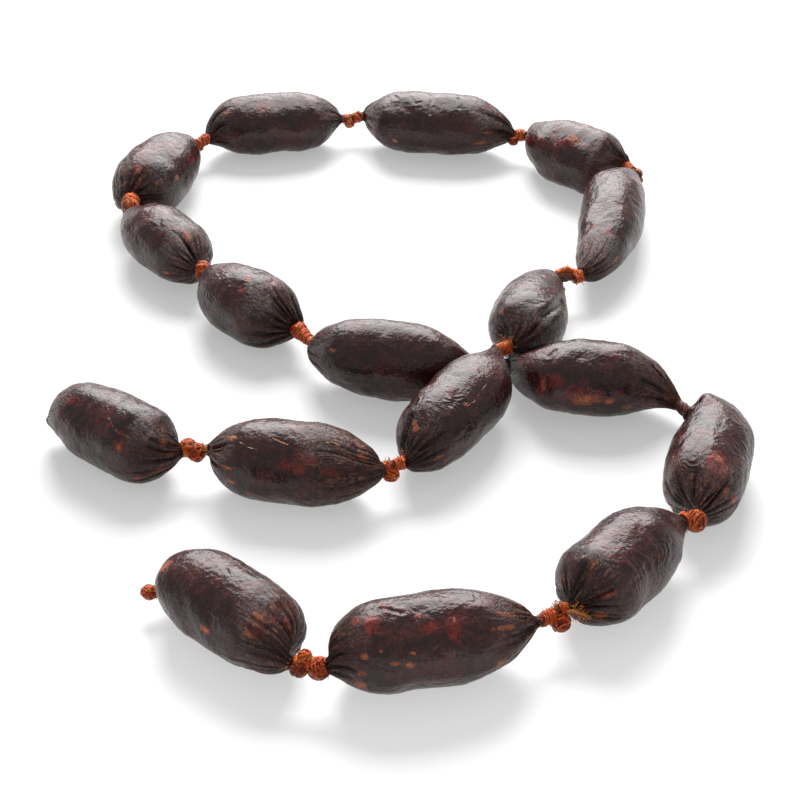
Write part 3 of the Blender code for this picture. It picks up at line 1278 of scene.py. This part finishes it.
LINKS: tuple[dict[str, Any], ...] = (
    {
        "front": Gather(28, 1.8, 26, 0.9),
        "marks": (meat(0.28, 118, 12, 5, 0.6), meat(0.71, 150, 4, 4), fat(0.715, 150, 1.5, 1.2),
                  meat(0.70, 130, 7, 1.6, 0.9), fat(0.89, 112, 2.4, 2.0), fat(0.80, 207, 3, 1.2),
                  fat(0.905, 198, 3, 2.4, 0.8), meat(0.60, 125, 14, 4, 0.5),
                  fat(0.94, 150, 2, 2, 0.7)),
        "lines": (vein((0.58, 118), (0.66, 130), (0.76, 131)), vein((0.72, 70), (0.79, 62)),
                  crease((0.84, 118), (0.96, 108), width=0.7, depth=0.6)),
        "swellings": (Swelling(0.15, 95, 1.2, 8, 14),),
        "redness": 0.05,
    },
    {
        "rear": Gather(34, 1.5, 24, 0.9),
        "front": Gather(46, 0.9, 44, 1.7),
        "marks": (meat(0.50, 146, 5, 4, 0.9), meat(0.56, 145, 5, 4), meat(0.61, 138, 7, 4, 0.9),
                  meat(0.70, 148, 5, 4, 0.9), meat(0.75, 152, 4, 2, 0.8), meat(0.86, 120, 8, 8, 0.7),
                  fat(0.235, 183, 3.4, 1.3), fat(0.32, 200, 2.5, 2.2, 0.6), fat(0.21, 159, 4, 1.0),
                  fat(0.225, 106, 2.2, 1.6), fat(0.86, 118, 3, 2, 0.8), fat(0.82, 84, 3, 1.2, 0.8),
                  fat(0.73, 198, 2, 1.6, 0.5)),
        "lines": (vein((0.14, 92), (0.18, 100), (0.25, 108)), vein((0.27, 116), (0.33, 126),
                  (0.37, 127)), vein((0.43, 110), (0.50, 117), (0.58, 113), (0.68, 108), (0.76, 106)),
                  vein((0.70, 118), (0.80, 112), (0.92, 118)), vein((0.10, 160), (0.20, 158)),
                  vein((0.60, 128), (0.72, 124), (0.84, 134)), vein((0.74, 96), (0.88, 98))),
        "swellings": (Swelling(0.92, 78, 1.5, 7, 12), Swelling(0.07, 60, -1.2, 8, 12)),
        "redness": 0.10,
    },
    {
        "rear": Gather(30, 1.7, 26, 0.7),
        "front": Gather(26, 1.0, 26, 0.4),
        "marks": (fat(0.40, 128, 2.2, 1.0, 0.7), fat(0.16, 178, 3, 1.2), fat(0.145, 90, 2, 1.4),
                  fat(0.17, 81, 2.2, 1.4, 0.8), fat(0.20, 195, 3, 1.2, 0.7)),
        "lines": (vein((0.40, 131), (0.45, 134), (0.53, 129), (0.60, 127)),
                  vein((0.64, 122), (0.73, 117)),
                  crease((0.23, 138), (0.16, 139), (0.09, 133), width=0.9, depth=0.8),
                  crease((0.20, 67), (0.10, 68), (0.03, 45), width=1.2, depth=1.2)),
        "wrinkles": (Wrinkles(0.33, 70, 8, 8, 0.22, 2.8), Wrinkles(0.36, 118, 7, 6, 0.20, 2.6)),
        "swellings": (Swelling(0.68, 45, 1.4, 10, 10),),
        "redness": 0.04,
    },
    {
        "rear": Gather(36, 1.4, 24, 1.2),
        "front": Gather(22, 1.0, 24, 0.4),
        "marks": (fat(0.20, 50, 3, 2, 0.8), meat(0.22, 22, 4, 3, 0.7), meat(0.15, 124, 3, 4, 0.8),
                  meat(0.13, 80, 8, 16, 0.45), fat(0.40, 160, 7, 1.2, 0.7)),
        "lines": (crease((0.22, 130), (0.33, 139), (0.46, 146), width=2.0, depth=1.2),),
        "swellings": (Swelling(0.36, 168, 1.6, 12, 8), Swelling(0.62, 165, -1.4, 8, 9),
                      Swelling(0.54, 38, -1.0, 10, 10)),
    },
    {
        "rear": Gather(36, 1.5, 30, 0.9),
        "front": Gather(26, 1.0, 30, 0.5),
        "marks": (meat(0.24, 100, 5, 4, 0.9), fat(0.165, 164, 4, 2, 0.7), meat(0.20, 170, 7, 4, 0.6),
                  meat(0.28, 60, 5, 3, 0.8), fat(0.15, 55, 3, 0.9, 0.8), meat(0.24, 35, 14, 6, 0.5),
                  fat(0.80, 145, 12, 2.6, 0.75), fat(0.68, 150, 5, 1.8, 0.6)),
        "wrinkles": (Wrinkles(0.60, 42, 22, 10, 0.16, 2.2), Wrinkles(0.42, 78, 16, 7, 0.12, 2.0)),
        "swellings": (Swelling(0.12, 0, 2.4, 12, 14), Swelling(0.30, 212, -1.2, 16, 10)),
        "redness": 0.06,
    },
    {
        "rear": Gather(38, 1.6, 30, 1.7),
        "front": Gather(26, 1.1, 18, 0.7),
        "marks": (meat(0.43, 56, 7, 6), fat(0.435, 58, 4.5, 3.0, 0.85), meat(0.36, 53, 4, 3, 0.8),
                  meat(0.52, 44, 8, 5, 0.9), meat(0.64, 42, 8, 5, 0.7), meat(0.80, 32, 6, 4, 0.8),
                  meat(0.87, 42, 5, 4, 0.7)),
        "swellings": (Swelling(0.85, 95, 0.8, 8, 12), Swelling(0.74, 330, -1.2, 8, 9)),
        "redness": 0.10,
    },
    {
        "rear": Gather(36, 1.4, 32, 1.3),
        "front": Gather(36, 1.4, 24, 1.0),
        "marks": (fat(0.22, -9, 6, 1.2, 0.9), fat(0.20, 15, 6, 0.9, 0.7), meat(0.29, -13, 6, 2, 0.6),
                  fat(0.70, -11, 2.0, 2.0), fat(0.84, -14, 4, 3, 0.7), meat(0.10, 70, 4, 5, 0.7),
                  meat(0.22, 66, 8, 4, 0.6), meat(0.58, 62, 3, 2, 0.6), meat(0.85, 70, 5, 8, 0.5)),
        "lines": (crease((0.522, 90), (0.508, 76), (0.520, 58), (0.512, 44), width=0.8, depth=0.6),
                  crease((0.63, 78), (0.60, 62), (0.57, 66), width=0.7, depth=0.5),
                  crease((0.37, 82), (0.355, 60), width=0.8, depth=0.6),
                  crease((0.73, 90), (0.70, 74), width=0.8, depth=0.6),
                  vein((0.28, 42), (0.20, 14)), vein((0.24, 26), (0.13, 14))),
        "swellings": (Swelling(0.52, 300, -1.5, 40, 12),),
        "redness": 0.03,
    },
    {
        "rear": Gather(32, 1.4, 24, 0.9),
        "front": Gather(26, 2.0, 24, 0.6),
        "marks": (meat(0.40, 62, 6, 2.2, 0.8), fat(0.53, 55, 2, 1.4, 0.8), meat(0.59, 58, 4, 3),
                  meat(0.82, 92, 3, 9, 0.8), fat(0.80, 65, 3, 1.8, 0.7), fat(0.78, -8, 5, 2, 0.5),
                  meat(0.12, 66, 6, 5, 0.6)),
        "swellings": (Swelling(0.80, 118, 2.5, 12, 14), Swelling(0.46, 300, -1.8, 14, 12),
                      Swelling(0.07, 300, -1.8, 6, 12)),
        "redness": 0.02,
    },
    {
        "rear": Gather(24, 1.0, 18, 0.5),
        "front": Gather(36, 1.7, 28, 1.5),
        "marks": (meat(0.80, 80, 6, 5), fat(0.81, 83, 2.6, 1.8, 0.9), fat(0.85, 72, 1.8, 1.2, 0.8),
                  meat(0.43, 24, 6, 5, 0.8), meat(0.41, -5, 6, 3, 0.6), fat(0.65, 21, 3, 2, 0.8),
                  fat(0.80, 38, 4, 1.0, 0.8), meat(0.90, 75, 5, 9, 0.8), meat(0.70, 100, 10, 6, 0.4)),
        "lines": (vein((0.62, 24), (0.66, 18), (0.72, 20)),),
        "wrinkles": (Wrinkles(0.55, 100, 22, 14, 0.16, 2.4),),
        "redness": 0.12,
    },
    {
        "rear": Gather(24, 1.0, 18, 0.5),
        "front": Gather(30, 2.1, 28, 1.0),
        "marks": (fat(0.775, 93, 3.6, 3.2), fat(0.755, 192, 3, 1.6), meat(0.76, 127, 4, 1.4, 0.9),
                  fat(0.43, 146, 5, 1.2, 0.6), fat(0.93, 32, 2, 2, 0.8), meat(0.90, 60, 5, 6, 0.7)),
        "swellings": (Swelling(0.50, 220, -1.6, 18, 12),),
        "redness": 0.02,
    },
    {
        "rear": Gather(24, 1.1, 18, 0.4),
        "front": Gather(30, 2.2, 32, 0.8),
        "marks": (fat(0.575, 100, 3, 1.4, 0.8), meat(0.58, 102, 4, 3), meat(0.60, 121, 4, 2, 0.9),
                  meat(0.70, 78, 3, 2.4), fat(0.42, 179, 4, 1.4, 0.7), meat(0.85, 90, 8, 8, 0.5)),
        "lines": (crease((0.70, 82), (0.69, 72), width=1.0, depth=0.4),),
        "wrinkles": (Wrinkles(0.36, 150, 18, 12, 0.12, 3.4), Wrinkles(0.42, 100, 14, 8, 0.08, 2.6)),
        "redness": 0.02,
    },
    {
        "rear": Gather(40, 1.3, 24, 0.7),
        "front": Gather(22, 0.9, 20, 0.3),
        "marks": (fat(0.21, 139, 2, 1.2, 0.7), meat(0.12, 104, 4, 4, 0.6), meat(0.63, 150, 6, 5, 0.4),
                  meat(0.74, 62, 6, 8, 0.7)),
        "swellings": (Swelling(0.13, 78, 2.2, 9, 14), Swelling(0.30, 240, -1.2, 14, 12)),
    },
    {
        "rear": Gather(30, 1.6, 26, 0.9),
        "front": Gather(34, 1.3, 34, 1.7),
        "marks": (meat(0.315, 165, 4, 9), fat(0.32, 160, 2.4, 5, 0.75), meat(0.365, 150, 7, 5, 0.9),
                  fat(0.51, 177, 8, 4.5, 0.85), meat(0.50, 172, 14, 7), fat(0.615, 179, 2.8, 2.2),
                  fat(0.69, 195, 5, 3, 0.65), meat(0.66, 165, 6, 4, 0.6), fat(0.83, 188, 8, 7, 0.45),
                  meat(0.19, 108, 5, 5, 0.8), meat(0.95, 130, 8, 12, 0.9)),
        "lines": (vein((0.44, 191), (0.56, 192)), crease((0.34, 108), (0.37, 94), width=0.8)),
        "swellings": (Swelling(0.45, 240, -1.6, 26, 10), Swelling(0.93, 40, -1.8, 8, 9),
                      Swelling(0.03, 90, 0.7, 6, 10)),
        "redness": 0.05,
    },
    {
        "rear": Gather(24, 1.2, 18, 0.5),
        "front": Gather(24, 2.6, 32, 1.1),
        "marks": (meat(0.74, 74, 9, 8), fat(0.725, 74, 3.6, 3.0, 0.75), meat(0.78, 66, 6, 6),
                  fat(0.70, 143, 3, 1.2, 0.8), meat(0.84, 172, 4, 3, 0.9), fat(0.81, 10, 3.4, 2.8),
                  meat(0.85, 70, 6, 8, 0.7), fat(0.84, 37, 3, 2, 0.7), meat(0.90, 0, 8, 8, 0.5),
                  fat(0.52, 32, 4, 1.4, 0.5)),
        "lines": (crease((0.06, 172), (0.18, 146), (0.30, 126), width=2.2, depth=2.0),),
        "wrinkles": (Wrinkles(0.52, 52, 24, 14, 0.13, 2.5), Wrinkles(0.78, 112, 3, 5, 0.35, 2.2)),
        "swellings": (Swelling(0.27, 112, 2.6, 8, 9), Swelling(0.62, 180, 0.8, 14, 10),
                      Swelling(0.30, 152, -1.4, 12, 8)),
        "redness": 0.05,
    },
    {
        "rear": Gather(24, 1.1, 18, 0.5),
        "front": Gather(32, 2.1, 26, 1.1),
        "marks": (fat(0.79, 86, 3.6, 1.6, 0.75), fat(0.64, 78, 1.6, 1.0, 0.8), fat(0.885, -5, 3.4, 3),
                  fat(0.84, 38, 5, 1.0), fat(0.88, 148, 3, 2.4, 0.7), meat(0.88, 150, 7, 9, 0.5),
                  fat(0.18, 88, 5, 1.8, 0.5)),
        "lines": (crease((0.81, 42), (0.90, 40), (0.98, 28), width=0.8, depth=0.7),),
        "wrinkles": (Wrinkles(0.52, 35, 13, 9, 0.20, 3.2),),
        "swellings": (Swelling(0.77, 300, -2.4, 8, 12),),
    },
    {
        "rear": Gather(38, 1.3, 30, 1.7),
        "front": Gather(30, 2.0, 26, 0.9),
        "marks": (meat(0.42, 70, 4, 4), meat(0.435, 52, 3.6, 7), fat(0.425, 66, 1.2, 1.8, 0.7),
                  meat(0.52, 60, 6, 4, 0.9), meat(0.39, 66, 4, 6, 0.6), fat(0.785, 35, 2.2, 1.8),
                  fat(0.615, 20, 2.2, 1.7), fat(0.67, 24, 2.6, 1.5), fat(0.60, 34, 1.2, 1.0),
                  fat(0.72, 40, 1.0, 0.8), meat(0.80, 88, 5, 4), meat(0.74, 74, 5, 7),
                  fat(0.81, -15, 4, 3), fat(0.80, 10, 2.6, 1.5, 0.8), fat(0.255, -5, 3, 5, 0.75),
                  fat(0.20, 72, 6, 1.2, 0.8), fat(0.22, 50, 7, 1.3, 0.8), fat(0.56, 77, 1.6, 1.2, 0.8),
                  fat(0.46, 90, 2, 1.4, 0.6), fat(0.83, 116, 3, 1.2, 0.7), meat(0.68, 92, 3, 5, 0.6)),
        "lines": (crease((0.70, 100), (0.655, 90), (0.62, 84), width=0.9, depth=0.6),
                  vein((0.12, 66), (0.24, 74)), vein((0.12, 58), (0.28, 52))),
        "wrinkles": (Wrinkles(0.48, 40, 7, 7, 0.32, 3.6),),
        "swellings": (Swelling(0.20, 106, 1.2, 10, 14), Swelling(0.91, 130, 1.2, 8, 12),
                      Swelling(0.52, 300, -1.8, 40, 12), Swelling(0.07, 330, -2.0, 8, 12)),
        "redness": 0.03,
    },
    {
        "rear": Gather(40, 1.6, 38, 1.5),
        "front": Gather(20, 0.7, 12, 0.4),
        "marks": (fat(0.815, 57, 3.6, 3.4, 0.9), meat(0.15, 90, 6, 5, 0.9), meat(0.22, 80, 8, 6, 0.8),
                  meat(0.12, 165, 7, 6, 0.8), fat(0.265, 65, 3.4, 1.3), fat(0.26, 38, 3.6, 1.2, 0.9),
                  fat(0.47, 12, 3.4, 1.8), fat(0.58, 5, 2.4, 1.6, 0.5), meat(0.24, 48, 7, 6, 0.8)),
        "lines": (crease((0.545, 97), (0.52, 92), width=0.7, depth=0.4),),
        "swellings": (Swelling(0.86, 62, 2.6, 8, 14), Swelling(0.80, 25, 1.6, 8, 9),
                      Swelling(0.08, 270, -1.8, 6, 10)),
        "redness": 0.02,
    },
)
TIES: tuple[dict[str, Any], ...] = (
    {
        "windings": (Winding(-0.6, 1.3, 1.0, 1.5, 2.2, tone=-1.0),),
        "free": End.REAR,
        "fuzz": 0,
        "neck_radius": 1.5,
    },
    {
        "windings": (Winding(-5.4, 3.8, 6, 3.4, 3.4),),
        "lumps": (Lump(-2.6, 1.0, 1.2, 4.4, 0.7, 9, 0.1), Lump(0.9, -0.6, -0.8, 4.7, 0.7, 10)),
        "strands": (Strand(((3.8, 1.5, 2.6), (4.9, -0.5, 2.3), (5.4, -1.9, 0.6),
                            (4.8, -2.4, -1.6)), 0.5, 0.9),),
        "tufts": (Tuft(-5.2, 1.6, 1.6, 22, 1.6, 1.1), Tuft(5.0, -1.6, 1.2, 30, 1.8, 1.1)),
    },
    {
        "windings": (Winding(-5.0, -0.8, 2.6, 2.8, 3.0), Winding(-0.8, 6.2, 5.0, 2.9, 3.3)),
        "lumps": (Lump(-1.9, -1.6, -2.9, 4.1, 0.8, 10, 0.05),),
        "tufts": (Tuft(-4.6, 1.6, 1.2, 30, 1.6, 1.2), Tuft(4.0, 0.6, 2.6, 20, 2.4, 1.0, 0.4)),
    },
    {
        "windings": (Winding(-5.0, 4.6, 7, 3.3, 3.5),),
        "tufts": (Tuft(1.8, 1.0, 3.0, 50, 2.2, 0.9, 0.5), Tuft(4.2, 0.2, 3.0, 40, 1.8, 1.0, 0.7)),
        "fuzz": 50,
        "fuzz_length": 1.3,
    },
    {
        "windings": (Winding(0.6, 6.6, 4.4, 3.3, 3.5, -1.6, -0.6),),
        "strands": (Strand(((5.0, -1.8, 0.4), (2.2, 0.4, 1.6), (-1.2, 2.4, 2.6), (-4.6, 3.0, 1.8),
                            (-6.6, 2.2, 0.0)), 2.1, -0.15),
                    Strand(((4.0, -1.6, -1.6), (0.6, 0.2, -0.6), (-2.4, 1.4, 0.0),
                            (-5.6, 1.0, -0.4)), 1.7, 0.1),
                    Strand(((-6.4, 2.0, 0.0), (-6.2, -0.6, -3.6), (-5.6, -2.4, -6.4)), 1.9, -0.3)),
        "tufts": (Tuft(-2.0, 1.5, 2.8, 40, 2.8, 1.0, 0.5), Tuft(-6.0, -1.4, -5.0, 30, 2.6, 1.1, 0.4)),
    },
    {
        "windings": (Winding(-2.4, 7.0, 6.5, 3.2, 3.0),),
        "lumps": (Lump(-3.0, -2.2, -1.6, 3.9, 0.75, 9), Lump(-5.2, -2.6, -3.4, 3.2, 0.75, 8)),
    },
    {
        "windings": (Winding(-3.9, 4.0, 4.6, 3.4, 3.4),),
        "lumps": (Lump(0.2, 0.6, 0.4, 4.1, 0.75, 9), Lump(4.2, 2.6, -2.6, 3.5, 0.75, 8, -0.4)),
        "tufts": (Tuft(3.4, 1.0, 0.6, 20, 2.4, 1.0, 0.6),),
    },
    {
        "windings": (Winding(-6.4, 0.4, 4.4, 3.2, 3.4), Winding(0.2, 6.4, 3.8, 2.8, 2.8, tone=0.3)),
        "lumps": (Lump(2.2, 1.8, -2.6, 3.3, 0.6, 9, 0.45), Lump(-3.0, 0.6, 1.2, 3.5, 0.7, 6)),
        "tufts": (Tuft(4.6, 0.4, -1.6, 34, 2.2, 1.4, 1.0), Tuft(1.0, 1.0, 1.8, 20, 1.8, 1.1)),
    },
    {
        "windings": (Winding(-5.4, 5.2, 6.4, 3.4, 3.2),),
        "lumps": (Lump(-2.4, 0.9, 1.2, 3.8, 0.75, 9), Lump(2.4, 0.0, -2.4, 3.4, 0.7, 8, -0.2)),
    },
    {
        "windings": (Winding(-6.2, 5.0, 6.4, 3.8, 3.6),),
        "lumps": (Lump(-2.8, 1.6, 2.0, 5.0, 0.8, 11), Lump(1.4, 0.4, 1.4, 4.9, 0.8, 11, 0.05),
                  Lump(2.8, -1.6, -2.8, 3.4, 0.7, 8, -0.4)),
        "tufts": (Tuft(3.6, -1.6, -2.6, 24, 2.4, 1.1, 0.5),),
    },
    {
        "windings": (Winding(-3.4, 3.4, 3.8, 3.3, 3.3),),
        "lumps": (Lump(-0.6, 0.2, 0.8, 4.1, 0.75, 9, 0.05), Lump(-0.3, -1.8, -1.9, 3.4, 0.75, 8)),
    },
    {
        "windings": (Winding(-7.4, 7.4, 9.0, 4.4, 2.4, tone=0.05),),
        "lumps": (Lump(-6.0, -0.6, 1.0, 4.5, 0.75, 8, 0.1),),
    },
    {"windings": (Winding(-1.4, 1.4, 1.0, 3.2, 3.2),), "fuzz": 2},
    {"bare": True},
    {
        "windings": (Winding(0.6, 4.4, 3.2, 4.0, 3.9),),
        "lumps": (Lump(-1.8, 2.6, -1.2, 5.1, 0.6, 15, -0.05),),
    },
    {
        "windings": (Winding(-0.4, 7.6, 6.4, 3.3, 3.0), Winding(-6.4, -0.6, 4.0, 3.0, 3.2)),
        "lumps": (Lump(-0.9, 2.8, -2.8, 4.5, 0.65, 12, -0.25),),
        "strands": (Strand(((-3.6, 2.0, 1.0), (-6.6, 4.0, 1.2), (-9.0, 6.0, 0.2),
                            (-10.8, 7.4, -0.8)), 0.7, 0.6),),
        "tufts": (Tuft(-1.4, -0.6, 3.0, 70, 2.0, 1.1, 0.5), Tuft(-7.0, 4.4, 1.2, 60, 3.2, 1.3, 0.6),
                  Tuft(-10.0, 7.0, -0.4, 50, 2.2, 1.5, 0.8)),
        "fuzz": 24,
    },
    {
        "windings": (Winding(-7.0, 7.0, 7.4, 3.2, 3.2),),
        "lumps": (Lump(1.9, -1.2, 2.2, 3.3, 0.6, 10, 0.35), Lump(3.9, 1.4, -1.2, 4.1, 0.7, 10, -0.4),
                  Lump(-3.8, 0.8, -1.4, 4.9, 0.7, 12, -0.1)),
        "tufts": (Tuft(7.0, 0.9, 0.0, 40, 2.2, 1.2), Tuft(-7.2, 0.3, -0.8, 40, 2.2, 1.2),
                  Tuft(-0.2, -0.4, 2.8, 30, 1.8, 1.0)),
    },
    {
        "windings": (Winding(-3.2, -0.6, 1.8, 2.8, 3.0),),
        "lumps": (Lump(0.6, 0.0, 0.4, 3.6, 0.55, 12, 0.1),),
        "tufts": (Tuft(1.4, 0.6, 1.6, 24, 2.6, 1.0, 0.6),),
        "free": End.FRONT,
    },
)


def main() -> None:
    """Builds the string and the studio."""
    logging.basicConfig(level=logging.INFO, format="%(name)s: %(message)s")
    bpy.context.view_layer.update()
    Studio().build()
    casing = CasingFinish().build()
    for number, details in enumerate(LINKS, start=1):
        Link(number, **details).build(casing)
    twine, neck = TwineFinish().build(), NeckFinish().build()
    for number, details in enumerate(TIES):
        Tie(number, **details).build(twine, neck)
    bpy.context.view_layer.update()


if __name__ == "__main__":
    main()
